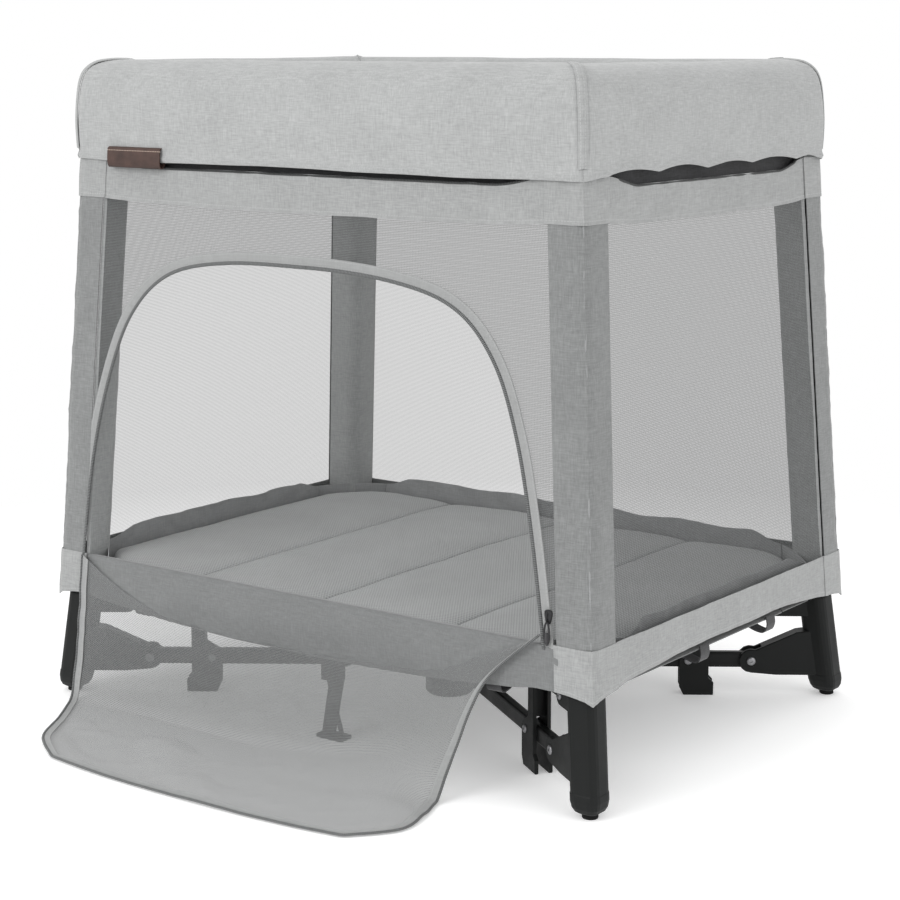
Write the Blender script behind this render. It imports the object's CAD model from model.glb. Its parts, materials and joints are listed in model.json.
"""The looks of a folding travel playpen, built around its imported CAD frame.

Fabric walls, bands, post sleeves, rail cover, floor tub, mattress and the draped door are made here as
parametric sheets, and each follows the body of the frame that carries it. Metres, +Z up."""

import collections
import json
import math

import bmesh
import bpy
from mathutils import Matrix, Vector, noise


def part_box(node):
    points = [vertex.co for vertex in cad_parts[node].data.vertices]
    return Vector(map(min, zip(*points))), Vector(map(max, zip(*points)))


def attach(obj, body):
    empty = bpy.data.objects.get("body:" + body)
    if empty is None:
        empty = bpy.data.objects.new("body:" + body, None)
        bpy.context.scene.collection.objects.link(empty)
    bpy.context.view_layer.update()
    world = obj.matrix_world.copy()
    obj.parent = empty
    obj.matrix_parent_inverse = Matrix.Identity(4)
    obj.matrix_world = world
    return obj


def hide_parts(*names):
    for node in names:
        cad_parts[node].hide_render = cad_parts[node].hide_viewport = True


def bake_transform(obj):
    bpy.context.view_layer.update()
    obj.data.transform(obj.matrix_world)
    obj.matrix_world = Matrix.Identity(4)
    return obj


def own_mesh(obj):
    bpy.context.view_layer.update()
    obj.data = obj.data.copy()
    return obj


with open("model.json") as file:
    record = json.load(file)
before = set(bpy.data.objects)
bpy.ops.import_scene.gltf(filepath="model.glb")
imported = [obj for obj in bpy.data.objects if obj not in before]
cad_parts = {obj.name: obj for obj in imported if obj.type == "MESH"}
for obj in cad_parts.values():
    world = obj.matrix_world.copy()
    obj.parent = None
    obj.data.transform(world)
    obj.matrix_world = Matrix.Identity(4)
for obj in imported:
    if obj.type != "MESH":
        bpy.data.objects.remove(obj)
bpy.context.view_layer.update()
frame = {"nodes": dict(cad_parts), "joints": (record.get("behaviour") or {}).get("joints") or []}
NODES = frame["nodes"]
JOINTS = {j["name"]: j for j in frame["joints"]}


# ---- the frame's own lines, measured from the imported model


def ring_half_sizes(z_end):
    """Half sizes of the fabric's outer lines at the walls' lower (0) or upper (1) edge, and that height."""
    points = [v.co for n in ("wall_right", "wall_back") for v in NODES[n].data.vertices]
    low, high = min(p.z for p in points), max(p.z for p in points)
    z = (low, high)[z_end]
    ring = [p for p in points if abs(p.z - z) < 1e-4]
    return max(p.x for p in ring), max(p.y for p in ring), z


LOW_X, LOW_Y, LOW_Z = ring_half_sizes(0)
TOP_X, TOP_Y, TOP_Z = ring_half_sizes(1)
HEM_Z, HEIGHT = (corner.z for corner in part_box("rail_cover"))
MATTRESS_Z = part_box("mattress_panel_1")[0].z
TUB_Z, TUB_TOP_Z = (corner.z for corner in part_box("floor_tub"))

BAND_LOW_Z = LOW_Z  # lower edge of the bottom band
BAND_TOP_Z = 0.207
UPPER_BAND_Z = 0.698
SILL_Z = 0.203  # the doorway's sill
GROUND_Z = 0.0022  # middle of the flap's fabric where it lies on the floor
SLEEVE_REACH = 0.048  # how far a post sleeve reaches along each wall from the corner line
UNDER_SLEEVE = SLEEVE_REACH - 0.006  # where the walls' own sheets end
BINDING_WIDTH = 0.0125
NET_OUT = -0.003  # the nets, from the fabric's outer line
CORNER_R = 0.013  # the fabric's radius round a corner
POST_CUT = 0.092  # how far in along both walls together a corner is cut so that it clears the post
FLOOR_CUT = 0.165  # the same for the part of the floor that swings up with the links
RAIL_IN = 0.034  # from the fabric's outer lines to the rails' middle
FABRIC = 0.0011  # thickness

LINK = (Vector(JOINTS["frame_fold"]["pos_m"]) - Vector(JOINTS["hub_level"]["pos_m"]))
# the share of a link's length that its post moves in by at the full fold
RAIL_PIVOT = Vector([abs(c) for c in JOINTS["rail_long_back_right_fold"]["pos_m"]])
SHORT_PIVOT = Vector([abs(c) for c in JOINTS["rail_short_back_right_fold"]["pos_m"]])

CAMERA_AT = (1.7404, -2.3616, 0.9083)
CAMERA_YAW, CAMERA_PITCH, LENS_MM = 36.38, -10.83, 86.2
KEY_POWER, FILL_POWER = 78, 20
NEAR_GLOW = 0.27  # the floor's own light near the playpen; further out it is pure white

CORNERS = {"front_left": (-1, -1), "front_right": (1, -1), "back_right": (1, 1), "back_left": (-1, 1)}
# side: (the axis it runs along, its sign on the other axis, corner at its low end, corner at its high end)
SIDES = {
    "front": ("x", -1, "front_left", "front_right"),
    "back": ("x", 1, "back_left", "back_right"),
    "left": ("y", -1, "front_left", "back_left"),
    "right": ("y", 1, "front_right", "back_right"),
}


def half_x(z):
    return LOW_X + (TOP_X - LOW_X) * (z - LOW_Z) / (TOP_Z - LOW_Z)


def half_y(z):
    return LOW_Y + (TOP_Y - LOW_Y) * (z - LOW_Z) / (TOP_Z - LOW_Z)


def side_half(side, z):
    """Half the length of a side at this height."""
    return half_x(z) if SIDES[side][0] == "x" else half_y(z)


def on_side(side, along, z, out=0.0):
    """A point on a wall: along from its middle, at this height, and out from the fabric's outer line."""
    axis, sign = SIDES[side][:2]
    if axis == "x":
        return Vector((along, sign * (half_y(z) + out), z))
    return Vector((sign * (half_x(z) + out), along, z))


def at_corner(corner, in_x, in_y, z):
    """A point this far in along x and y from where two walls' outer lines meet."""
    sx, sy = CORNERS[corner]
    return Vector((sx * (half_x(z) - in_x), sy * (half_y(z) - in_y), z))


def body_of_post(corner):
    return f"post_{corner}"


def clamped(t):
    return max(0.0, min(1.0, t))


def smooth_step(t):
    t = clamped(t)
    return t * t * (3 - 2 * t)


# ---- node materials


class Graph:
    """A short way to write a material's nodes."""

    def __init__(self, name, **settings):
        self.material = bpy.data.materials.new(name)
        self.material.use_nodes = True
        self.tree = self.material.node_tree
        self.shader = self.tree.nodes.get("Principled BSDF")
        self.output = self.tree.nodes.get("Material Output")
        for key, value in settings.items():
            self.shader.inputs[key.replace("_", " ")].default_value = value

    def node(self, kind, inputs=(), **settings):
        made = self.tree.nodes.new(kind)
        for key, value in settings.items():
            setattr(made, key, value)
        for key, value in dict(inputs).items():
            if isinstance(value, bpy.types.NodeSocket):
                self.tree.links.new(value, made.inputs[key])
            else:
                made.inputs[key].default_value = value
        return made

    def math(self, operation, a, b=0.0, c=0.0):
        return self.node("ShaderNodeMath", {0: a, 1: b, 2: c}, operation=operation).outputs[0]

    def place(self):
        return self.node("ShaderNodeTexCoord").outputs["Object"]

    def uv(self):
        split = self.node("ShaderNodeSeparateXYZ", {0: self.node("ShaderNodeTexCoord").outputs["UV"]})
        return split.outputs[0], split.outputs[1]

    def noise(self, scale, detail=3.0, roughness=0.55, stretch=None):
        vector = self.place()
        if stretch:
            mapping = self.node("ShaderNodeMapping", {"Vector": vector, "Scale": stretch})
            vector = mapping.outputs[0]
        inputs = {"Vector": vector, "Scale": scale, "Detail": detail, "Roughness": roughness}
        return self.node("ShaderNodeTexNoise", inputs).outputs["Fac"]

    def ramp(self, factor, stops):
        made = self.node("ShaderNodeValToRGB", {"Fac": factor})
        elements = made.color_ramp.elements
        elements[0].position, elements[0].color = stops[0][0], (*stops[0][1], 1)
        elements[1].position, elements[1].color = stops[-1][0], (*stops[-1][1], 1)
        for position, colour in stops[1:-1]:
            elements.new(position).color = (*colour, 1)
        return made.outputs["Color"]

    def mix(self, factor, a, b):
        made = self.node("ShaderNodeMix", data_type="RGBA")
        for index, value in ((0, factor), (6, a), (7, b)):
            if isinstance(value, bpy.types.NodeSocket):
                self.tree.links.new(value, made.inputs[index])
            elif index:
                made.inputs[index].default_value = (*value, 1)
            else:
                made.inputs[index].default_value = value
        return made.outputs[2]

    def colour(self, socket):
        self.tree.links.new(socket, self.shader.inputs["Base Color"])

    def bump(self, height, strength, distance):
        made = self.node("ShaderNodeBump", {"Height": height, "Strength": strength, "Distance": distance})
        self.tree.links.new(made.outputs[0], self.shader.inputs["Normal"])

    def stitches(self, lines, pitch=0.0042, width=0.0011):
        """1 on dashed lines that run along U at these V, else 0."""
        u, v = self.uv()
        dash = self.math("LESS_THAN", self.math("FRACT", self.math("DIVIDE", u, pitch)), 0.68)
        total = None
        for line in lines:
            near = self.math("LESS_THAN", self.math("ABSOLUTE", self.math("SUBTRACT", v, line)), width / 2)
            total = near if total is None else self.math("MAXIMUM", total, near)
        return self.math("MULTIPLY", dash, total)


def scaled(colour, factor):
    return tuple(min(1.0, c * factor) for c in colour)


def melange(name, colour, lines=(), contrast=0.16, thread=1.0, stitch_tone=1.18):
    """A woven fabric of mixed light and dark yarns, with dashed stitches along V lines."""
    g = Graph(name, Roughness=0.92, Sheen_Weight=0.25, Sheen_Roughness=0.5, Specular_IOR_Level=0.2)
    across = g.noise(420, 2.0, 0.6, (1 / 6 / thread, 1 / 6 / thread, 1.6))
    along = g.noise(420, 2.0, 0.6, (1.6, 1.6, 1 / 6 / thread))
    yarn = g.math("MULTIPLY_ADD", across, 0.5, g.math("MULTIPLY", along, 0.5))
    cloud = g.noise(14, 3.0)
    mixed = g.math("ADD", yarn, g.math("MULTIPLY", g.math("SUBTRACT", cloud, 0.5), 0.18))
    tone = g.ramp(mixed, [(0.34, scaled(colour, 1 - contrast)), (0.52, colour), (0.68, scaled(colour, 1 + contrast))])
    height = mixed
    if lines:
        mask = g.stitches(lines)
        tone = g.mix(mask, tone, scaled(colour, stitch_tone))
        height = g.math("MULTIPLY_ADD", mask, -0.6, mixed)
    g.colour(tone)
    g.bump(height, 0.45, 0.0008)
    return g.material


def net(name, colour, coverage, pitch=0.0024, swing=0.5):
    """A fine knitted net: small round holes in a yarn of this colour, which covers this share of the area."""
    g = Graph(name, Roughness=0.9, Specular_IOR_Level=0.1)
    u, v = g.uv()
    turn = 2 * math.pi / pitch
    row = g.math("SINE", g.math("MULTIPLY", g.math("ADD", u, g.math("MULTIPLY", v, 0.577)), turn))
    other = g.math("SINE", g.math("MULTIPLY", g.math("SUBTRACT", u, g.math("MULTIPLY", v, 0.577)), turn))
    holes = g.math("MULTIPLY", row, other)
    cover = g.node(
        "ShaderNodeMath", {0: holes, 1: swing, 2: coverage}, operation="MULTIPLY_ADD", use_clamp=True
    ).outputs[0]
    g.colour(g.mix(g.noise(300, 2.0), scaled(colour, 0.85), scaled(colour, 1.15)))
    g.bump(holes, 0.3, 0.0005)
    g.tree.links.new(cover, g.shader.inputs["Alpha"])
    return g.material


def ribbed_knit(name, colour, pitch=0.0060):
    """The mattress's stretch knit: rows of small dimples."""
    g = Graph(name, Roughness=0.95, Sheen_Weight=0.15, Specular_IOR_Level=0.15)
    split = g.node("ShaderNodeSeparateXYZ", {0: g.place()})
    x, y = split.outputs[0], split.outputs[1]
    turn = 2 * math.pi / pitch
    rows = g.math("SINE", g.math("MULTIPLY", x, turn))
    stitches = g.math("SINE", g.math("MULTIPLY", g.math("ADD", y, g.math("MULTIPLY", x, 0.5)), turn))
    dimple = g.math("MULTIPLY_ADD", g.math("MULTIPLY", rows, stitches), 0.5, 0.5)
    shade = g.math("MULTIPLY_ADD", g.noise(9, 3.0), 0.35, g.math("MULTIPLY", dimple, 0.65))
    g.colour(g.ramp(shade, [(0.1, scaled(colour, 0.66)), (0.5, colour), (0.9, scaled(colour, 1.24))]))
    g.bump(dimple, 0.5, 0.0012)
    return g.material


def moulded_plastic(name, colour, roughness=0.5, grain=900):
    """Moulded plastic with a fine spark-eroded grain and slightly rubbed patches."""
    g = Graph(name, Roughness=roughness, Specular_IOR_Level=0.2)
    fine = g.noise(grain, 2.0)
    worn = g.noise(22, 4.0)
    g.colour(g.mix(worn, scaled(colour, 0.85), scaled(colour, 1.35)))
    rough = g.node(
        "ShaderNodeMapRange", {0: worn, 1: 0.3, 2: 0.7, 3: roughness - 0.06, 4: roughness + 0.10}
    ).outputs[0]
    g.tree.links.new(rough, g.shader.inputs["Roughness"])
    g.bump(fine, 0.25, 0.0004)
    return g.material


def metal(name, colour, roughness, metallic=0.9):
    g = Graph(name, Roughness=roughness, Metallic=metallic)
    brushed = g.noise(260, 3.0, 0.6, (1, 1, 0.08))
    g.colour(g.mix(brushed, scaled(colour, 0.86), scaled(colour, 1.12)))
    g.bump(brushed, 0.08, 0.0003)
    return g.material


def leather(name, colour, lines):
    """Full-grain leather with a pebbled surface, darker creases and light thread."""
    g = Graph(name, Roughness=0.55, Specular_IOR_Level=0.4)
    cells = g.node("ShaderNodeTexVoronoi", {"Vector": g.place(), "Scale": 900}).outputs["Distance"]
    tone = g.ramp(g.noise(60, 4.0), [(0.3, scaled(colour, 0.7)), (0.7, scaled(colour, 1.3))])
    mask = g.stitches(lines, 0.0030, 0.0009)
    g.colour(g.mix(mask, tone, (0.42, 0.33, 0.27)))
    g.bump(g.math("MULTIPLY_ADD", mask, 0.8, cells), 0.5, 0.0006)
    return g.material


def zip_coil(name, colour, pitch=0.0022):
    """A coil of zip teeth: bright and dark bars that cross the tape."""
    g = Graph(name, Roughness=0.45, Specular_IOR_Level=0.4)
    u, v = g.uv()
    bar = g.math("MULTIPLY_ADD", g.math("SINE", g.math("MULTIPLY", u, 2 * math.pi / pitch)), 0.5, 0.5)
    g.colour(g.mix(bar, scaled(colour, 0.45), scaled(colour, 1.5)))
    g.bump(bar, 0.9, 0.0012)
    return g.material


LIGHT_GREY, MID_GREY = (0.375, 0.381, 0.379), (0.215, 0.220, 0.219)
MATERIALS = {
    "cover": melange("cover_fabric", LIGHT_GREY, (0.0065,), contrast=0.17),
    "seam": melange("seam_fabric", scaled(LIGHT_GREY, 0.93), (0.003, 0.009)),
    "band": melange("band_fabric", scaled(LIGHT_GREY, 0.86), (0.0045,), contrast=0.17),
    "binding": melange("binding_fabric", scaled(LIGHT_GREY, 0.82), (0.002, 0.0105), contrast=0.1),
    "sleeve": melange("sleeve_fabric", MID_GREY, (), contrast=0.2),
    "sleeve_inside": melange("sleeve_lining", scaled(MID_GREY, 1.4), (), contrast=0.16),
    "lining": melange("lining_fabric", (0.275, 0.28, 0.282), (0.004,), contrast=0.12),
    "floor": melange("floor_fabric", (0.185, 0.19, 0.19), (), contrast=0.14),
    "net": net("wall_net", (0.085, 0.088, 0.088), 0.37, swing=0.26),
    "flap_net": net("door_net", (0.23, 0.235, 0.235), 0.64, swing=0.26),
    "mattress": ribbed_knit("mattress_knit", (0.325, 0.332, 0.332)),
    "plastic": moulded_plastic("black_plastic", (0.0070, 0.0078, 0.0076), 0.5),
    "powder": moulded_plastic("black_powder_coat", (0.0075, 0.0080, 0.0080), 0.42, 1400),
    "rubber": moulded_plastic("rubber", (0.006, 0.006, 0.006), 0.8),
    "button": moulded_plastic("button_plastic", (0.05, 0.05, 0.052), 0.5),
    "tube": metal("tube_steel", (0.55, 0.56, 0.57), 0.32),
    "screw": metal("screw_steel", (0.30, 0.30, 0.31), 0.35),
    "zip_metal": metal("zip_metal", (0.035, 0.035, 0.037), 0.4, 0.6),
    "coil": zip_coil("zip_coil", (0.16, 0.165, 0.165)),
    "dark_coil": zip_coil("dark_zip_coil", (0.05, 0.052, 0.052)),
    "leather": leather("leather", (0.058, 0.031, 0.024), (0.003, 0.027)),
    "webbing": melange("webbing", (0.05, 0.05, 0.052), (), contrast=0.3),
}


# ---- mesh building


def add_mesh(name, bm, material):
    mesh = bpy.data.meshes.new(name)
    bm.to_mesh(mesh)
    bm.free()
    mesh.materials.append(MATERIALS[material])
    mesh.shade_smooth()
    obj = bpy.data.objects.new(name, mesh)
    bpy.context.scene.collection.objects.link(obj)
    return obj


def thickened(obj, thickness, offset=0.0):
    """The sheet as a closed solid with sharp rims."""
    modifier = obj.modifiers.new("thickness", "SOLIDIFY")
    modifier.thickness, modifier.offset = thickness, offset
    graph = bpy.context.evaluated_depsgraph_get()
    mesh = bpy.data.meshes.new_from_object(obj.evaluated_get(graph))
    obj.modifiers.clear()
    obj.data = mesh
    mesh.set_sharp_from_angle(angle=math.radians(50))
    return obj


def cloth(name, rows, material, uvs=None):
    """A sheet of ordinary fabric through rows of points."""
    return thickened(grid(name, rows, material, uvs), FABRIC)


def grid(name, rows, material, uvs=None, close=False):
    """A sheet through rows of points. UV is in metres along each row and from row to row, if none is given."""
    bm = bmesh.new()
    layer = bm.loops.layers.uv.new("UVMap")
    verts = [[bm.verts.new(p) for p in row] for row in rows]
    if uvs is None:
        uvs = metric_uvs(rows)
    columns = len(rows[0])
    for j in range(len(rows) - 1):
        for i in range(columns if close else columns - 1):
            k = (i + 1) % columns
            corners = ((j, i), (j, k), (j + 1, k), (j + 1, i))
            face = bm.faces.new([verts[a][b] for a, b in corners])
            for loop, (a, b) in zip(face.loops, corners):
                loop[layer].uv = uvs[a][b]
    return add_mesh(name, bm, material)


def closed_up(obj, join_within=0.0):
    """Joins points that are this close, fills the open ends and turns the faces outwards."""
    bm = bmesh.new()
    bm.from_mesh(obj.data)
    if join_within:
        bmesh.ops.remove_doubles(bm, verts=bm.verts, dist=join_within)
    bmesh.ops.holes_fill(bm, edges=[e for e in bm.edges if e.is_boundary])
    bmesh.ops.recalc_face_normals(bm, faces=bm.faces)
    bm.to_mesh(obj.data)
    bm.free()
    return obj


def metric_uvs(rows):
    """UV in metres: U along each row, V from row to row down the middle column."""
    middle = len(rows[0]) // 2
    v, out = 0.0, []
    for j, row in enumerate(rows):
        if j:
            v += (Vector(row[middle]) - Vector(rows[j - 1][middle])).length
        u, line = 0.0, []
        for i, p in enumerate(row):
            if i:
                u += (Vector(p) - Vector(row[i - 1])).length
            line.append((u, v))
        out.append(line)
    return out


def spread(start, end, count):
    return [start + (end - start) * i / count for i in range(count + 1)]


def smooth_path(points, per_span=8):
    """A Catmull-Rom curve through the points."""
    out = []
    for k in range(len(points) - 1):
        p0, p1 = points[max(k - 1, 0)], points[k]
        p2, p3 = points[k + 1], points[min(k + 2, len(points) - 1)]
        for i in range(per_span):
            t = i / per_span
            out.append(
                0.5 * (2 * p1 + (p2 - p0) * t + (2 * p0 - 5 * p1 + 4 * p2 - p3) * t * t
                       + (3 * p1 - p0 - 3 * p2 + p3) * t ** 3)
            )
    return out + [points[-1]]


def evenly(path, count):
    """The path again with count + 1 points at even distances."""
    lengths = [0.0]
    for a, b in zip(path, path[1:]):
        lengths.append(lengths[-1] + (b - a).length)
    out, k = [], 0
    for i in range(count + 1):
        target = lengths[-1] * i / count
        while k < len(path) - 2 and lengths[k + 1] < target:
            k += 1
        span = lengths[k + 1] - lengths[k]
        t = 0 if span < 1e-12 else (target - lengths[k]) / span
        out.append(path[k].lerp(path[k + 1], min(max(t, 0), 1)))
    return out


def wobble(p, scale, seed=0.0):
    return noise.noise(Vector((p[0] * scale + seed, p[1] * scale - seed, p[2] * scale + 3 * seed)))


def tube(name, path, radius, material, sides=8, flat=1.0, up=Vector((0, 0, 1))):
    """A round or flattened tube along a path."""
    ring = [2 * math.pi * k / sides for k in range(sides)]
    rows = []
    for i, p in enumerate(path):
        along = (path[min(i + 1, len(path) - 1)] - path[max(i - 1, 0)]).normalized()
        side = along.cross(up).normalized()
        over = side.cross(along).normalized()
        rows.append([p + side * math.cos(a) * radius + over * math.sin(a) * radius * flat for a in ring])
    length = [0.0]
    for a, b in zip(path, path[1:]):
        length.append(length[-1] + (b - a).length)
    uvs = [[(length[i], 2 * math.pi * radius * j / sides) for j in range(sides)] for i in range(len(path))]
    obj = grid(name, rows, material, uvs, close=True)
    return closed_up(obj)


# ---- what each fabric piece follows when the frame folds


def gathered_on_side(obj, side, sign):
    """Half a wall's fabric: it rides its post and gathers towards it as the frame folds."""
    axis, _, low, high = SIDES[side]
    corner = high if sign > 0 else low
    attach(obj, body_of_post(corner))
    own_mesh(obj)
    return obj


def halves(side):
    """(sign, name of that half) of a side."""
    axis = SIDES[side][0]
    return ((-1, "left"), (1, "right")) if axis == "x" else ((-1, "front"), (1, "back"))


# ---- walls


def band_gap(side, along, end):
    """How far the upper band's edge drops from the hem between the corners."""
    depth = 0.013 if SIDES[side][0] == "y" else 0.0105
    return depth * smooth_step((end - abs(along)) / 0.075)


def wall_band(side, sign, half_name, kind, low, high, out, material, raised=0.0, gap=0.0):
    """Half of a woven band across one side. Its lower edge is raised, and its upper edge drops, between the
    corners."""
    rows = []
    for t in spread(0, 1, 12):
        end = side_half(side, low + (high - low) * t) - UNDER_SLEEVE
        row = []
        for along in spread(0, end, 60):
            bottom = low + raised * (1 - (along / end) ** 4)
            top = high - gap * band_gap(side, along, end)
            z = bottom + (top - bottom) * t
            p = on_side(side, sign * along, z, out)
            ripple = (0.0018 * wobble(p, 14, 2.0) + 0.0009 * wobble(p, 52, 4.0)) * min(1, (end - along) / 0.03)
            edge = 0.0012 * wobble((p.x, p.y, 0.4), 16, 12.0) * (1 - t)
            row.append(on_side(side, sign * along, z + edge, out + ripple))
        rows.append(row if sign > 0 else row[::-1])
    obj = cloth(f"{kind}_{side}_{half_name}", rows, material)
    return gathered_on_side(obj, side, sign)


def gap_backing(side, sign, half_name):
    """The dark fabric that shows behind the gap between the band and the cover's hem."""
    rows = []
    for t in spread(0, 1, 6):
        z = HEM_Z - 0.022 + 0.060 * t
        end = side_half(side, z) - SLEEVE_REACH + 0.012
        rows.append([on_side(side, sign * a, z, -0.0075 - 0.003 * t) for a in spread(0, end, 24)])
    obj = cloth(f"gap_backing_{side}_{half_name}", rows, "webbing")
    return gathered_on_side(obj, side, sign)


def wall_net(side, sign, half_name):
    """Half of a plain wall's net, slightly slack in the middle."""
    rows = []
    for z in spread(BAND_TOP_Z - 0.006, UPPER_BAND_Z + 0.006, 30):
        end = side_half(side, z) - UNDER_SLEEVE
        bow = 0.004 * math.sin(math.pi * (z - BAND_TOP_Z) / (UPPER_BAND_Z - BAND_TOP_Z))
        row = []
        for along in spread(0, end, 30):
            p = on_side(side, sign * along, z)
            out = NET_OUT - bow * (1 - (along / end) ** 2) + 0.0015 * wobble(p, 9)
            row.append(on_side(side, sign * along, z, out))
        rows.append(row if sign > 0 else row[::-1])
    obj = grid(f"net_{side}_{half_name}", rows, "net")
    return gathered_on_side(obj, side, sign)


# (x, z) of the doorway's edge, from the sill up to the middle
ARCH_RIGHT = (
    (0.376, 0.200), (0.352, 0.340), (0.326, 0.450), (0.290, 0.535), (0.232, 0.592), (0.140, 0.618), (0.0, 0.627),
)
ARCH_LEFT = (
    (-0.396, 0.200), (-0.378, 0.340), (-0.348, 0.455), (-0.306, 0.545), (-0.240, 0.602), (-0.140, 0.624), (0.0, 0.627),
)


def arch_path(sign, count=90, out=0.0):
    """Half of the doorway's outline, from the sill up to the middle of its top."""
    hand = ARCH_RIGHT if sign > 0 else ARCH_LEFT
    points = [Vector((x, 0, z)) for x, z in hand]
    points.append(Vector((-points[-2].x, 0, points[-2].z)))
    path = smooth_path(points, 14)[: 14 * (len(hand) - 1) + 1]
    return [on_side("front", p.x, p.z, out) for p in evenly(path, count)]


def door_side_net(sign, half_name):
    """The net between the doorway and the post, above and beside the arch."""
    arch = arch_path(sign, 90, NET_OUT)
    low_end, top_end = half_x(BAND_TOP_Z) - UNDER_SLEEVE, half_x(UPPER_BAND_Z) - UNDER_SLEEVE
    low_z, top_z = BAND_TOP_Z - 0.006, UPPER_BAND_Z + 0.006
    outer = [(sign * low_end, 0, low_z), (sign * top_end, 0, top_z), (0, 0, top_z)]
    outer = evenly([Vector(p) for p in outer], 90)
    rows = []
    for t in spread(0, 1, 10):
        row = []
        for a, b in zip(arch, outer):
            x, z = a.x + (b.x - a.x) * t, a.z + (b.z - a.z) * t
            row.append(on_side("front", x, z, NET_OUT))
        rows.append(row)
    uvs = [[(p.x, p.z) for p in row] for row in rows]
    return gathered_on_side(grid(f"net_front_{half_name}", rows, "net", uvs), "front", sign)


def door_binding(sign, half_name):
    """The stitched binding round the doorway and the zip coil along its inner edge."""
    path = arch_path(sign, 120, 0.0015)

    def inwards(i):
        along = path[min(i + 1, len(path) - 1)] - path[max(i - 1, 0)]
        return Vector((-along.z, 0, along.x)).normalized() * sign

    rows = [[p - inwards(i) * w for i, p in enumerate(path)] for w in spread(0, BINDING_WIDTH, 4)]
    tape = cloth(f"door_binding_{half_name}", rows, "binding")
    gathered_on_side(tape, "front", sign)
    coil_path = [p + inwards(i) * 0.0015 + Vector((0, -0.0012, 0)) for i, p in enumerate(path)]
    coil = tube(f"door_zip_coil_{half_name}", coil_path, 0.0023, "coil", 8, 0.7, Vector((0, 1, 0)))
    gathered_on_side(coil, "front", sign)
    return [tape, coil]


def gap_zip(side, sign, half_name):
    """The open zip along the upper band's edge, whose end goes in behind the band before the corner."""
    end = side_half(side, HEM_Z) - SLEEVE_REACH
    last = end - 0.012
    path = []
    for a in spread(0, last, 70):
        z = HEM_Z + 0.0015 - band_gap(side, a, end)
        tucked = max(0.0, 1 - (last - a) / 0.02) ** 2
        path.append(on_side(side, sign * a, z, 0.0012 - 0.0090 * tucked + 0.0006 * wobble((a, 0, z), 30)))
    coil = tube(f"cover_zip_{side}_{half_name}", path, 0.0021, "dark_coil", 8, 0.8)
    return gathered_on_side(coil, side, sign)


def post_sleeve(corner):
    """The fabric sleeve round a post: two flat wings and a rounded corner with a sewn seam down its middle."""
    sx, sy = CORNERS[corner]
    rows = []
    for z in spread(BAND_LOW_Z + 0.0015, TOP_Z, 90):
        hx, hy = half_x(z), half_y(z)
        free = clamped(min(z - BAND_TOP_Z, UPPER_BAND_Z - z) / 0.02)  # 0 under the bands
        line = []
        for reach in spread(SLEEVE_REACH, CORNER_R, 5)[:-1]:
            line.append((hx - reach, hy, (0, 1)))
        for k in range(13):
            a = math.radians(90 - 90 * k / 12)
            normal = (math.cos(a), math.sin(a))
            line.append((hx - CORNER_R + CORNER_R * normal[0], hy - CORNER_R + CORNER_R * normal[1], normal))
        for reach in spread(CORNER_R, SLEEVE_REACH, 5)[1:]:
            line.append((hx, hy - reach, (1, 0)))
        row = []
        for i, (x, y, normal) in enumerate(line):
            seam = math.exp(-((i - (len(line) - 1) / 2) / 0.9) ** 2)
            pucker = 0.0022 * wobble((x * sx, y * sy, z * 0.55), 34, 7.0)
            pucker += 0.0010 * wobble((x * sx, y * sy, z), 90, 1.0)
            edge = min(i, len(line) - 1 - i) / 4
            push = (0.0016 * seam + pucker * min(1, edge)) * free + 0.0012
            row.append(Vector((sx * (x + normal[0] * push), sy * (y + normal[1] * push), z)))
        rows.append(row if sx * sy > 0 else row[::-1])
    obj = thickened(grid(f"post_sleeve_{corner}", rows, "sleeve"), FABRIC, -1.0)
    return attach(obj, body_of_post(corner))


def sleeve_inside(corner):
    """The sleeve's inner side, which closes it round the post's tube."""
    sx, sy = CORNERS[corner]
    axis, radius, edge = RAIL_IN, 0.0172, 0.0035
    wing_end = (SLEEVE_REACH - 0.0005, 0.0012)
    plan = [wing_end] + [(axis + radius, v) for v in spread(edge, axis, 5)]
    plan += [(axis + radius * math.cos(a), axis + radius * math.sin(a)) for a in spread(0, math.pi / 2, 8)[1:-1]]
    plan += [(v, axis + radius) for v in spread(axis, edge, 5)] + [wing_end[::-1]]
    rows = []
    for z in spread(BAND_LOW_Z + 0.004, TOP_Z - 0.004, 60):
        row = []
        for u, v in plan:
            p = at_corner(corner, u, v, z)
            row.append(p - Vector((sx, sy, 0)) * abs(0.0007 * wobble(p, 40, 17.0)))
        rows.append(row if sx * sy < 0 else row[::-1])
    obj = cloth(f"sleeve_inside_{corner}", rows, "sleeve_inside")
    declare_sheet(obj)
    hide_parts("wall_back")
    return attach(obj, body_of_post(corner))


def sleeve_seam(corner):
    """The raised, puckered seam down a sleeve's corner."""
    sx, sy = CORNERS[corner]
    across, outwards = Vector((sx, -sy, 0)) * 0.0007, Vector((sx, sy, 0)) * 0.0006
    reach = CORNER_R * 0.293 - 0.0018  # just outside the rounded corner
    path = []
    for z in spread(BAND_TOP_Z - 0.002, UPPER_BAND_Z + 0.002, 120):
        p = at_corner(corner, reach, reach, z)
        path.append(p + across * wobble(p, 50, 13.0) + outwards * wobble(p, 90))
    seam = tube(f"sleeve_seam_{corner}", path, 0.0011, "lining", 6, 1.0, Vector((1, 0, 0)))
    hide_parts("wall_back")
    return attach(seam, body_of_post(corner))


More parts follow.
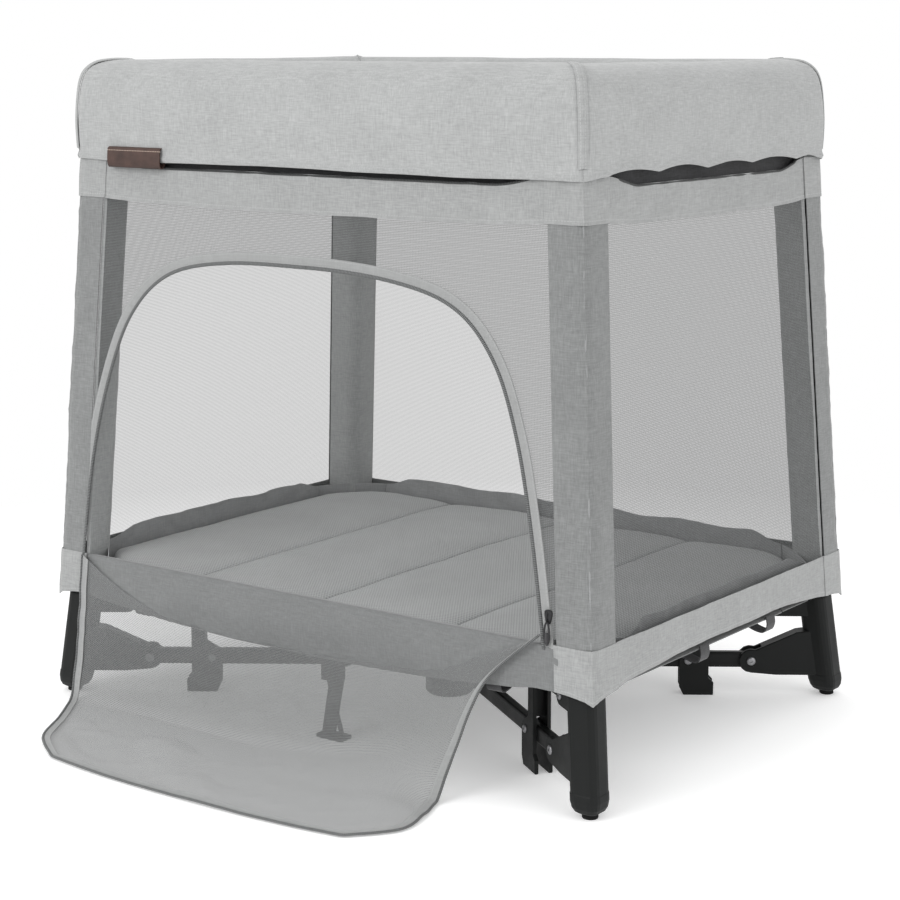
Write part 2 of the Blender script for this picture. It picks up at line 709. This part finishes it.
def band_corner(corner, kind, low, high, out):
    """The light band where it wraps round a corner, over the sleeve, with its seam on the corner."""
    sx, sy = CORNERS[corner]
    rows = []
    radius, reach_end = CORNER_R * 0.7, SLEEVE_REACH + 0.004
    # (where along x's wall, arc angle, where along y's wall): one of the three is set
    line = [(reach, None, None) for reach in spread(reach_end, radius, 8)[:-1]]
    line += [(None, math.radians(90 - 9 * k), None) for k in range(11)]
    line += [(None, None, reach) for reach in spread(radius, reach_end, 8)[1:]]
    middle = (len(line) - 1) / 2
    for t in spread(0, 1, 10):
        row = []
        for i, (reach_x, angle, reach_y) in enumerate(line):
            near = max(0.0, 1 - abs(i - middle) / middle)
            z_low = low + (0.010 * (1 - near ** 1.5) if kind == "lower_band" else 0)
            z = z_low + (high - z_low) * t
            hx, hy = half_x(z), half_y(z)
            seam = 0.0011 * math.exp(-((i - middle) / 0.8) ** 2)
            crease = 0.0009 * wobble((sx * i * 0.02, sy * 0.3, z), 40, 5.0)
            away = out + seam + crease
            if reach_x is not None:
                x, y = hx - reach_x, hy + away
            elif reach_y is not None:
                x, y = hx + away, hy - reach_y
            else:
                x = hx - radius + (radius + away) * math.cos(angle)
                y = hy - radius + (radius + away) * math.sin(angle)
            row.append(Vector((sx * x, sy * y, z)))
        rows.append(row if sx * sy > 0 else row[::-1])
    obj = cloth(f"{kind}_corner_{corner}", rows, "band")
    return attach(obj, body_of_post(corner))


def build_walls():
    for side in SIDES:
        pieces = []
        for sign, half_name in halves(side):
            span = (UPPER_BAND_Z, HEM_Z + 0.003, 0.0012, "band")
            pieces.append(wall_band(side, sign, half_name, "upper_band", *span, raised=-0.006, gap=1))
            pieces.append(gap_backing(side, sign, half_name))
            pieces.append(gap_zip(side, sign, half_name))
            if side == "front":
                pieces.append(door_side_net(sign, half_name))
                pieces += door_binding(sign, half_name)
            else:
                pieces.append(wall_net(side, sign, half_name))
                span = (BAND_LOW_Z - 0.002, BAND_TOP_Z, 0.0016, "band")
                pieces.append(wall_band(side, sign, half_name, "lower_band", *span, raised=0.013))
        for piece in pieces:
            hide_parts(f"wall_{side}")
            if piece.name.startswith(("net_", "upper_", "lower_", "gap_")):
                declare_sheet(piece)
    for corner in CORNERS:
        sleeve_inside(corner)
        sleeve_seam(corner)
        sleeve = post_sleeve(corner)
        declare_sheet(sleeve)
        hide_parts("wall_back")
        spans = (("lower_band", BAND_LOW_Z - 0.010, BAND_TOP_Z), ("upper_band", UPPER_BAND_Z, HEM_Z + 0.003))
        for kind, low, high in spans:
            wrap = band_corner(corner, kind, low, high, 0.0027)
            declare_sheet(wrap)
            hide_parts("wall_back")


def declare_sheet(obj):
    """Declares a sheet with the flat size that its own surface measures."""
    area = sum(p.area for p in obj.data.polygons)
    uses = collections.Counter(key for polygon in obj.data.polygons for key in polygon.edge_keys)
    if all(count == 2 for count in uses.values()):  # a closed solid has the sheet's area twice
        area /= 2


# ---- the rail cover

# (offset out from the walls' line, height) from the hem, over the rail and down the inside
COVER_SECTION = (
    (0.0030, HEM_Z + 0.010), (0.0052, HEM_Z + 0.0010), (0.0082, HEM_Z - 0.0008), (0.0100, HEM_Z + 0.0030),
    (0.0078, HEM_Z + 0.0105), (0.0094, HEM_Z + 0.022), (0.0122, 0.800), (0.0118, 0.838), (0.0078, 0.859),
    (-0.0010, 0.8705), (-0.0130, 0.8770), (-0.0250, 0.8795), (-0.0340, 0.8800), (-0.0450, 0.8785), (-0.0560, 0.8720),
    (-0.0635, 0.8600), (-0.0675, 0.8400), (-0.0690, 0.8100), (-0.0660, 0.8040),
)


def cover_profile(count=44):
    path = smooth_path([Vector((a, 0, b)) for a, b in COVER_SECTION], 6)
    return [(p.x, p.z) for p in evenly(path, count)]


def cover_half(side, sign, half_name):
    """The cover from a corner seam to the middle of a side."""
    axis = SIDES[side][0]
    profile = cover_profile()
    stations = [("straight", t) for t in spread(0, 1, 60)] + [("arc", t) for t in spread(0, 1, 9)[1:]]
    rows = []
    for offset, z in profile:
        row = []
        for kind, t in stations:
            length, depth = side_half(side, z), (half_y(z) if axis == "x" else half_x(z))
            hang = clamped((0.86 - z) / 0.11) if offset > -RAIL_IN else 0.0
            if kind == "straight":
                along, across = (length - CORNER_R) * t, depth + offset
                seam_dip = 0.0
            else:
                a = math.radians(90 - 45 * t)
                swing = max(CORNER_R + offset, 0.0)
                lack = CORNER_R + offset - swing
                along = length - CORNER_R + swing * math.cos(a)
                across = depth - CORNER_R + swing * math.sin(a)
                if lack < 0:
                    along = length - CORNER_R + lack * t
                    across = depth + offset
                seam_dip = 0.0016 * math.exp(-((1 - t) * 3) ** 2)
            along = min(along, length + offset) if offset < -CORNER_R else along
            p = Vector((sign * along, across, z)) if axis == "x" else Vector((across, sign * along, z))
            ripple = (0.0030 * wobble(p, 7, 11.0) + 0.0014 * wobble(p, 24, 3.0)) * (0.35 + hang)
            lift = 0.0024 * wobble((p.x, p.y, 0.3), 9, 21.0) * hang
            if axis == "y":
                inner = clamped((length - along) / 0.05)
                lift += (0.0055 * abs(math.sin(along * 27 + 0.6 * sign)) + 0.004) * hang ** 4 * inner
            across += ripple - seam_dip
            height = z + lift + (0.0012 * wobble(p, 11, 31.0) if offset < 0 else 0)
            height = min(height, HEIGHT + 0.003)
            if axis == "x":
                row.append(Vector((sign * along, SIDES[side][1] * across, height)))
            else:
                row.append(Vector((SIDES[side][1] * across, sign * along, height)))
        rows.append(row)
    obj = thickened(grid(f"cover_{side}_{half_name}", rows, "cover"), 0.0022, 1.0 if flips(side, sign) else -1.0)
    return obj


def cover_seam(corner):
    """The double-stitched seam down a corner of the cover."""
    sx, sy = CORNERS[corner]
    out = Vector((sx, sy, 0)).normalized()
    side_way = Vector((-sy, sx, 0)).normalized()
    path = []
    for offset, z in cover_profile(60)[6:46]:
        swing = max(CORNER_R + offset, 0.0)
        lack = CORNER_R + offset - swing
        base = Vector((sx * (half_x(z) - CORNER_R + lack), sy * (half_y(z) - CORNER_R + lack), z))
        path.append(base + out * swing)
    rows = []
    for w in spread(-0.006, 0.006, 6):
        bulge = 0.0024 - 0.40 * abs(w)
        rows.append([p + side_way * w + (out + Vector((0, 0, 0.6))) * bulge for p in path])
    obj = cloth(f"cover_seam_{corner}", rows, "seam")
    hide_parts("rail_cover")
    declare_sheet(obj)
    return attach(obj, body_of_post(corner))


def flips(side, sign):
    """Whether a half's rows run so that its faces point inwards."""
    axis, outward = SIDES[side][:2]
    return (sign * outward > 0) == (axis == "x")


def build_cover():
    for corner in CORNERS:
        cover_seam(corner)
    for side in SIDES:
        axis, _, low, high = SIDES[side]
        for sign, half_name in halves(side):
            obj = cover_half(side, sign, half_name)
            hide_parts("rail_cover")
            corner = high if sign > 0 else low
            pivot = RAIL_PIVOT if axis == "x" else SHORT_PIVOT
            at = "xy".index(axis)
            start, end = [0, 0, HEIGHT], [0, 0, HEIGHT]
            start[at], end[at] = sign * (pivot[at] + 0.02), sign * (pivot[at] - 0.03)
            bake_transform(obj)


# ---- floor tub, mattress and door


def lining_strip(side, sign, half_name):
    """Half of the tub's side: fabric that rises from the mattress to the wall, with a wrinkled top edge."""
    rows = []
    low, high = MATTRESS_Z + 0.002, TUB_TOP_Z + 0.003
    for t in spread(0, 1, 12):
        z = low + (high - low) * t
        inset = 0.0125 - 0.0065 * t
        end = side_half(side, z) - POST_CUT + inset
        row = []
        for along in spread(0, end, 60):
            p = on_side(side, sign * along, z)
            wave = -abs(0.0060 * wobble(p, 16, 9.0) + 0.003 * wobble(p, 45, 2.0)) * t
            rise = 0.0055 * wobble((p.x, p.y, 0.1), 13, 15.0) * t
            near_post = max(0.0, 1 - (end - along) / 0.05)
            drop = 0.014 * near_post * near_post * (3 - 2 * near_post) * t
            row.append(on_side(side, sign * along, z + rise * (1 - near_post) - drop, -inset + wave))
        rows.append(row)
    obj = cloth(f"lining_{side}_{half_name}", rows, "lining")
    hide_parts("floor_tub")
    gathered_on_side(obj, side, sign)
    declare_sheet(obj)
    return obj


def lining_corner(corner):
    """The tub's side where it cuts across a corner, in front of the post."""
    sx, sy = CORNERS[corner]
    rows = []
    for t in spread(0, 1, 8):
        z = MATTRESS_Z + 0.002 + (TUB_TOP_Z - 0.014 - MATTRESS_Z) * t
        row = []
        for w in spread(0, 1, 12):
            u = 0.006 + (POST_CUT - 0.012) * w
            p = Vector((sx * (half_x(z) - u), sy * (half_y(z) - POST_CUT + u), z + 0.003 * math.sin(math.pi * w) * t))
            row.append(p)
        rows.append(row)
    obj = cloth(f"lining_corner_{corner}", rows, "lining")
    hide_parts("floor_tub")
    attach(obj, body_of_post(corner))
    declare_sheet(obj)
    return obj


def floor_corner(corner):
    """The strip of the tub's floor next to a post, which stays with it."""
    sx, sy = CORNERS[corner]
    z = TUB_Z + 0.0012
    hx, hy = half_x(z) - 0.006, half_y(z) - 0.006
    rows = []
    for cut in spread(POST_CUT + 0.002, FLOOR_CUT + 0.002, 4):
        reach = cut - 0.012
        rows.append([Vector((sx * (hx - reach * t), sy * (hy - reach * (1 - t)), z)) for t in spread(0, 1, 14)])
    obj = cloth(f"tub_floor_corner_{corner}", rows, "floor")
    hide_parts("floor_tub")
    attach(obj, body_of_post(corner))
    declare_sheet(obj)
    return obj


def floor_quarter(corner):
    """A quarter of the tub's floor, which swings up with the link under it as the frame folds."""
    sx, sy = CORNERS[corner]
    z0 = TUB_Z
    hx, hy = half_x(z0) - 0.006, half_y(z0) - 0.006
    rows = []
    for y in spread(0, hy, 14):
        reach = min(hx, hx + hy + 0.012 - FLOOR_CUT - y)
        row = [Vector((sx * x, sy * y, z0)) for x in spread(0, reach, 20)]
        rows.append([p + Vector((0, 0, 0.0010 + 0.0006 * wobble(p, 12))) for p in row])
    obj = cloth(f"tub_floor_{corner}", rows, "floor")
    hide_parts("floor_tub")
    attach(obj, f"lower_link_{corner}")
    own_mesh(obj)
    declare_sheet(obj)
    return obj


def mattress_panel(index):
    """One crowned panel of the folding mattress, pinched at the sewn folds."""
    low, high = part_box(f"mattress_panel_{index}")
    first, last = index == 1, index == 4
    x0, x1 = low.x - 0.001, high.x + 0.001
    y0, y1 = low.y, high.y
    middle, rise = (low.z + high.z) / 2, (high.z - low.z) / 2 + 0.0015
    corner = half_x(middle) + half_y(middle) - POST_CUT - 0.012
    us, vs = spread(-1, 1, 26), spread(-1, 1, 60)
    top, bottom = [], []
    for v in vs:
        vv = math.sin(v * math.pi / 2)
        line_top, line_bottom = [], []
        for u in us:
            uu = math.sin(u * math.pi / 2)
            along = max(0.0, (1 - abs(uu) ** 5)) ** 0.36
            if not (first and u < 0 or last and u > 0):
                along = 0.66 + 0.34 * along
            body = along * max(0.0, (1 - abs(vv) ** 14)) ** 0.30
            x = (x0 + x1) / 2 + uu * (x1 - x0) / 2
            y = (y0 + y1) / 2 + vv * (y1 - y0) / 2
            if first:
                x = x1 + (x - x1) * min(1, (corner - abs(y) + x1) / (x1 - x0))
            if last:
                x = x0 + (x - x0) * min(1, (corner - abs(y) - x0) / (x1 - x0))
            dent = 0.0030 * wobble((x, y, 0), 7, 4.0) + 0.0009 * wobble((x, y, 0), 30, 6.0)
            crown = rise * body * (0.90 + 0.10 * (1 - uu * uu)) + dent * body
            line_top.append(Vector((x, y, middle + crown)))
            line_bottom.append(Vector((x, y, middle - (rise - 0.002) * body)))
        top.append(line_top)
        bottom.append(line_bottom)
    rows = [t + b[::-1][1:-1] for t, b in zip(top, bottom)]
    obj = closed_up(grid(f"mattress_{index}", rows, "mattress", close=True), 1e-5)
    obj.data.shade_smooth()
    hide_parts(f"mattress_panel_{index}")
    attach(obj, f"mattress_{index}")
    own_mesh(obj)
    return obj


def apron_low(x):
    """Height of the apron's lower edge: it sags between the corners."""
    return 0.151 - 0.021 * max(0.0, 1 - ((x + 0.02) / 0.38) ** 2) ** 0.8


def apron_half(sign, half_name):
    """Half of the tub's front: rolled over the mattress's edge, sagging below the sill."""
    rows = []
    for t in spread(0, 1, 22):
        row = []
        for along in spread(0, half_x(SILL_Z) - 0.018, 60):
            x = sign * along
            low = apron_low(x)
            if t < 0.3:
                s = t / 0.3
                y_in = 0.030 * (1 - s) ** 1.5
                z = SILL_Z - 0.006 + 0.008 * math.sin(s * math.pi / 2)
                out = -y_in
            else:
                s = (t - 0.3) / 0.7
                z = SILL_Z + 0.002 + (low - SILL_Z - 0.002) * s
                out = 0.001 + 0.008 * math.sin(math.pi * s) * max(0, 1 - (x / 0.40) ** 2)
            p = Vector((x, -half_y(z), z))
            wave = 0.0030 * wobble((x, 0, z * 0.8), 11, 8.0) + 0.0022 * wobble((x + z, 0, z), 30, 5.0)
            row.append(on_side("front", x, z, out + wave * min(1, t * 2)))
        rows.append(row)
    obj = cloth(f"sill_apron_{half_name}", rows, "floor")
    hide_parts("floor_tub")
    gathered_on_side(obj, "front", sign)
    declare_sheet(obj)
    return obj


def flap_rows(columns=110):
    """The open door from its seam under the sill, down to the floor and out along it."""
    y0 = -half_y(0.14)
    left = [(-0.391, y0 - 0.0035, 0.206), (-0.402, y0 - 0.006, 0.085), (-0.404, y0 - 0.014, 0.022),
            (-0.388, -0.362, GROUND_Z), (-0.348, -0.420, GROUND_Z), (-0.302, -0.492, GROUND_Z), (-0.238, -0.538, GROUND_Z)]
    right = [(0.372, y0 - 0.004, 0.218), (0.300, y0 - 0.010, 0.150), (0.266, y0 - 0.024, 0.060),
             (0.262, -0.382, GROUND_Z), (0.276, -0.425, GROUND_Z), (0.282, -0.480, GROUND_Z), (0.240, -0.534, GROUND_Z)]
    middle = [(0.0, y0 - 0.003, 0.134), (-0.02, y0 - 0.012, 0.070), (-0.03, y0 - 0.022, 0.016),
              (-0.03, -0.368, GROUND_Z), (-0.02, -0.420, GROUND_Z), (-0.01, -0.492, GROUND_Z), (0.0, -0.552, GROUND_Z)]
    edges = [evenly(smooth_path([Vector(p) for p in line], 10), 74) for line in (left, middle, right)]
    rows = []
    for j, (l, m, r) in enumerate(zip(*edges)):
        t = j / (len(edges[0]) - 1)
        row = []
        for u in spread(0, 1, columns):
            base = l.lerp(r, u)
            bulge = m - (l + r) / 2
            shape = 1 - abs(2 * u - 1) ** (2.6 + (1.2 * (1 - t) ** 8 if u < 0.5 else 0))
            p = base + bulge * shape
            row.append(p)
        rows.append(row)
    count = len(rows) - 1
    for j, row in enumerate(rows):
        t = j / count
        for i, p in enumerate(row):
            floor_share = clamped((0.03 - p.z) / 0.03)
            hanging = 1 - floor_share
            fold = 0.0045 * wobble((p.x, 0.2 * p.z, 0.0), 12, 6.0) + 0.002 * wobble((p.x, p.z, 0), 34, 3.0)
            p.y -= hanging * (fold + 0.003) * min(1, t * 6)
            puff = 0.016 * max(0.0, wobble((p.x * 0.8 + p.y * 0.3, p.y, 0), 11, 12.0)) ** 1.1
            puff += 0.0035 * max(0.0, wobble((p.x - 0.6 * p.y, p.y, 0), 31, 2.0))
            edge = min(1.0, 8 * min(i / columns, 1 - i / columns) + 0.25) * min(1.0, (1 - t) * 9 + 0.2)
            p.z = max(p.z + floor_share * puff * edge, GROUND_Z)
    return rows


def build_door():
    rows = flap_rows()
    uvs = metric_uvs(rows)
    pieces = [grid("door_net", rows, "flap_net", uvs)]
    outline = [row[0] for row in rows] + rows[-1][1:-1] + [row[-1] for row in reversed(rows)]
    inner = [row[2] for row in rows[:-3]] + rows[-3][2:-2] + [row[-3] for row in reversed(rows[:-3])]
    outline, inner = evenly(outline, 260), evenly(inner, 260)
    up = Vector((0, 0, 1))
    tape_rows = []
    for w in spread(0, 1, 4):
        tape_rows.append(
            [a + (b - a).normalized() * BINDING_WIDTH * w + surface_lift(a) for a, b in zip(outline, inner)]
        )
    tape = cloth("door_edge_binding", tape_rows, "binding")
    pieces.append(tape)
    coil_path = [a + surface_lift(a) * 1.3 for a in outline]
    pieces.append(tube("door_edge_coil", coil_path, 0.0020, "coil", 8, 0.8))
    declare_sheet(pieces[0])
    for piece in pieces:
        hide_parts("door_flap")
        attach(piece, "post_front_right")
        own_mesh(piece)


def surface_lift(p):
    """A little away from the hanging door, or up from the part that lies on the floor."""
    flat = clamped((0.03 - p.z) / 0.03)
    return Vector((0, -0.0012 * (1 - flat), 0.0012 * flat))


# ---- small fittings


def screw(name, at, direction, radius, body):
    """A button-head screw with a hex socket."""
    bm = bmesh.new()
    profile = [(0.0, -0.0012), (radius, -0.0012), (radius, 0.0004), (radius * 0.93, 0.0011), (radius * 0.72, 0.0018),
               (radius * 0.48, 0.0021)]
    steps = 24
    rings = []
    for r, h in profile[1:]:
        angles = [2 * math.pi * k / steps for k in range(steps)]
        rings.append([bm.verts.new((r * math.cos(a), r * math.sin(a), h)) for a in angles])
    hexagon = []
    for k in range(steps):
        a = 2 * math.pi * k / steps
        sector = (a % (math.pi / 3)) - math.pi / 6
        r = radius * 0.36 * math.cos(math.pi / 6) / math.cos(sector)
        hexagon.append((r * math.cos(a), r * math.sin(a)))
    for h in (0.0021, 0.0004):
        rings.append([bm.verts.new((x, y, h)) for x, y in hexagon])
    for low, high in zip(rings, rings[1:]):
        for i in range(steps):
            j = (i + 1) % steps
            bm.faces.new((low[i], low[j], high[j], high[i]))
    bm.faces.new(rings[0][::-1])
    bm.faces.new(rings[-1])
    obj = add_mesh(name, bm, "screw")
    obj.data.set_sharp_from_angle(angle=math.radians(35))
    obj.rotation_mode = "QUATERNION"
    obj.rotation_quaternion = Vector(direction).to_track_quat("Z", "Y")
    obj.location = at
    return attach(obj, body)


def build_screws():
    """A screw head on both outer faces of each pivot of the base."""
    cheek = 0.0126
    for corner, (sx, sy) in CORNERS.items():
        out = Vector((sx * abs(LINK.x), sy * abs(LINK.y), 0)).normalized()
        across = Vector((-out.y, out.x, 0))
        hub_pivot = Vector(JOINTS["hub_level"]["pos_m"])
        inner_r = math.hypot(hub_pivot.x, hub_pivot.y)
        outer_r = inner_r + LINK.length
        upper = JOINTS[f"upper_link_swing_{corner}"]["pos_m"]
        foot = JOINTS[f"mid_foot_upright_{corner}"]["pos_m"]
        lug = Vector(upper) + out * LINK.length
        post = body_of_post(corner)
        spots = [
            ("leg_pivot", out * outer_r + Vector((0, 0, hub_pivot.z)), 0.0062, post),
            ("lug_pivot", lug, 0.0050, post),
            ("foot_pivot", Vector(foot), 0.0055, f"mid_foot_{corner}"),
            ("hub_pivot", out * inner_r + Vector((0, 0, hub_pivot.z)), 0.0050, "hub"),
            ("hub_upper_pivot", Vector(upper), 0.0045, "hub"),
        ]
        for kind, at, radius, body in spots:
            for sign, label in ((1, "a"), (-1, "b")):
                screw(f"screw_{kind}_{corner}_{label}", at + across * cheek * sign, across * sign, radius, body)


def leather_tab():
    """A strap of leather folded round the cover's hem, blank, with stitched ends."""
    low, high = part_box("leather_tab")
    xs = spread(low.x, high.x, 40)
    path = [(0.0095, high.z + 0.001), (0.0128, high.z - 0.001), (0.0138, (low.z + high.z) / 2),
            (0.0130, low.z + 0.003), (0.0098, low.z - 0.0008), (0.0050, low.z + 0.002), (0.0030, low.z + 0.012)]
    outline = evenly(smooth_path([Vector((a, 0, b)) for a, b in path], 6), 30)
    rows = [[on_side("front", x, p.z, p.x + 0.0004 * wobble((x, 0, p.z), 60)) for x in xs] for p in outline]
    uvs = [[(x - low.x, high.z - p.z) for x in xs] for p in outline]
    obj = thickened(grid("leather_strap", rows, "leather", uvs), 0.0016)
    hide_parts("leather_tab")
    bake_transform(obj)
    return obj


def zip_fittings():
    """The zip's slider, with a bridge over it, and its pull with a slot."""
    low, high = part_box("zip_slider")
    centre = (low + high) / 2
    bm = bmesh.new()
    outline = [(-0.0026, -0.0085), (0.0026, -0.0085), (0.0052, 0.0030), (0.0046, 0.0078), (0.0, 0.0088),
               (-0.0046, 0.0078), (-0.0052, 0.0030)]
    for y in (-0.0022, 0.0022):
        bm.faces.new([bm.verts.new((x, y, z)) for x, z in outline])
    bm.verts.ensure_lookup_table()
    n = len(outline)
    for i in range(n):
        j = (i + 1) % n
        bm.faces.new((bm.verts[i], bm.verts[j], bm.verts[n + j], bm.verts[n + i]))
    bmesh.ops.recalc_face_normals(bm, faces=bm.faces)
    bmesh.ops.bevel(bm, geom=bm.edges[:], offset=0.0008, segments=2, affect="EDGES")
    slider = add_mesh("zip_slider_body", bm, "zip_metal")
    slider.location = centre + Vector((0, 0.0004, 0))
    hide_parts("zip_slider")
    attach(slider, "zip_slider")
    arch = []
    for t in spread(0, 1, 12):
        arch.append(centre + Vector((0, -0.0018 - 0.0034 * math.sin(math.pi * t), 0.006 - 0.011 * t)))
    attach(tube("zip_slider_bridge", arch, 0.0011, "zip_metal", 8, 1.0, Vector((1, 0, 0))), "zip_slider")
    low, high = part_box("zip_pull")
    y = (low.y + high.y) / 2
    x = (low.x + high.x) / 2
    loop = []
    for k in range(37):
        a = 2 * math.pi * k / 36
        loop.append(Vector((x + 0.0034 * math.sin(a), y, (low.z + high.z) / 2 + 0.0138 * math.cos(a))))
    pull = tube("zip_pull_loop", loop, 0.0012, "zip_metal", 8, 1.0, Vector((0, 1, 0)))
    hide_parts("zip_pull")
    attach(pull, "zip_pull")
    cord = [Vector((x, y, low.z + 0.016 - 0.015 * t)) for t in spread(0, 1, 6)]
    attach(tube("zip_pull_grip", cord, 0.0026, "webbing", 10, 0.6, Vector((0, 1, 0))), "zip_pull")


def strap_tabs():
    """Webbing tabs that hold the tub to the upper links, with their loops under the bands."""
    places = {"right": (-0.055, 0.120), "left": (-0.055, 0.120), "front": (-0.29, 0.30), "back": (-0.2, 0.2)}
    for side, along_all in places.items():
        for n, along in enumerate(along_all):
            z1 = BAND_LOW_Z + 0.004
            path = [on_side(side, along, z1, -0.004), on_side(side, along, z1 - 0.012, -0.003),
                    on_side(side, along, z1 - 0.022, -0.010), on_side(side, along, z1 - 0.018, -0.030),
                    on_side(side, along, z1 - 0.006, -0.045)]
            axis = Vector((1, 0, 0)) if SIDES[side][0] == "x" else Vector((0, 1, 0))
            line = evenly(smooth_path(path, 8), 24)
            rows = [[p + axis * w for w in spread(-0.011, 0.011, 4)] for p in line]
            obj = thickened(grid(f"tub_strap_{side}_{n + 1}", rows, "webbing"), 0.0014)
            gathered_on_side(obj, side, 1 if along > 0 else -1)


def dress_cad_nodes():
    """Gives every hard CAD node that stays visible its own detailed material."""
    groups = (
        (("leg_casting", "corner_bracket", "centre_hub", "mid_foot", "support_leg"), "plastic"),
        (("lower_link", "upper_link", "support_arm"), "powder"),
        (("foot_glide",), "rubber"),
        (("post_tube", "rail_long", "rail_short"), "tube"),
        (("release_button",), "button"),
    )
    for name, obj in NODES.items():
        for starts, material in groups:
            if name.startswith(starts):
                for slot in obj.material_slots:
                    slot.material = MATERIALS[material]


# ---- the stage


def build_stage():
    bm = bmesh.new()
    bmesh.ops.create_grid(bm, x_segments=1, y_segments=1, size=30)
    mesh = bpy.data.meshes.new("floor")
    bm.to_mesh(mesh)
    bm.free()
    floor = bpy.data.objects.new("studio_floor", mesh)
    bpy.context.scene.collection.objects.link(floor)
    g = Graph("studio_floor", Roughness=1.0, Specular_IOR_Level=0.0)
    radius = g.node("ShaderNodeVectorMath", {0: g.place()}, operation="LENGTH").outputs["Value"]
    glow_start, glow_end = 0.75, 1.5
    far = g.node("ShaderNodeMapRange", {0: radius, 1: glow_start, 2: glow_end, 3: 0.0, 4: 1.0}).outputs[0]
    g.colour(g.mix(far, (0.93, 0.93, 0.93), (0.0, 0.0, 0.0)))
    glow = g.math("MULTIPLY_ADD", far, 1.0 - NEAR_GLOW, NEAR_GLOW)
    g.tree.links.new(glow, g.shader.inputs["Emission Strength"])
    g.shader.inputs["Emission Color"].default_value = (1, 1, 1, 1)
    mesh.materials.append(g.material)
    world = bpy.data.worlds.new("studio")
    world.use_nodes = True
    world.node_tree.nodes["Background"].inputs["Color"].default_value = (1, 1, 1, 1)
    bpy.context.scene.world = world
    for name, at, size, power in (
        ("key", (-0.9, -4.2, 2.8), 2.4, KEY_POWER),
        ("fill", (3.8, -0.6, 2.0), 2.4, FILL_POWER),
    ):
        light = bpy.data.lights.new(name, "AREA")
        light.size, light.energy = size, power
        obj = bpy.data.objects.new(name, light)
        obj.location = at
        obj.rotation_mode = "QUATERNION"
        obj.rotation_quaternion = (Vector((0, 0, 0.4)) - Vector(at)).to_track_quat("-Z", "Y")
        bpy.context.scene.collection.objects.link(obj)
    bpy.context.scene.view_settings.view_transform = "Standard"


def build_camera():
    data = bpy.data.cameras.new("camera")
    data.sensor_width, data.lens = 36, LENS_MM
    camera = bpy.data.objects.new("camera", data)
    camera.location = CAMERA_AT
    camera.rotation_euler = (math.radians(90 + CAMERA_PITCH), 0, math.radians(CAMERA_YAW))
    bpy.context.scene.collection.objects.link(camera)
    bpy.context.scene.camera = camera


def main():
    build_walls()
    build_cover()
    for side in SIDES:
        if side != "front":
            for sign, half_name in halves(side):
                lining_strip(side, sign, half_name)
    for sign, half_name in halves("front"):
        apron_half(sign, half_name)
    for corner in CORNERS:
        floor_quarter(corner)
        floor_corner(corner)
        lining_corner(corner)
    for index in range(1, 5):
        mattress_panel(index)
    build_door()
    build_screws()
    leather_tab()
    zip_fittings()
    strap_tabs()
    dress_cad_nodes()
    build_stage()
    build_camera()


main()
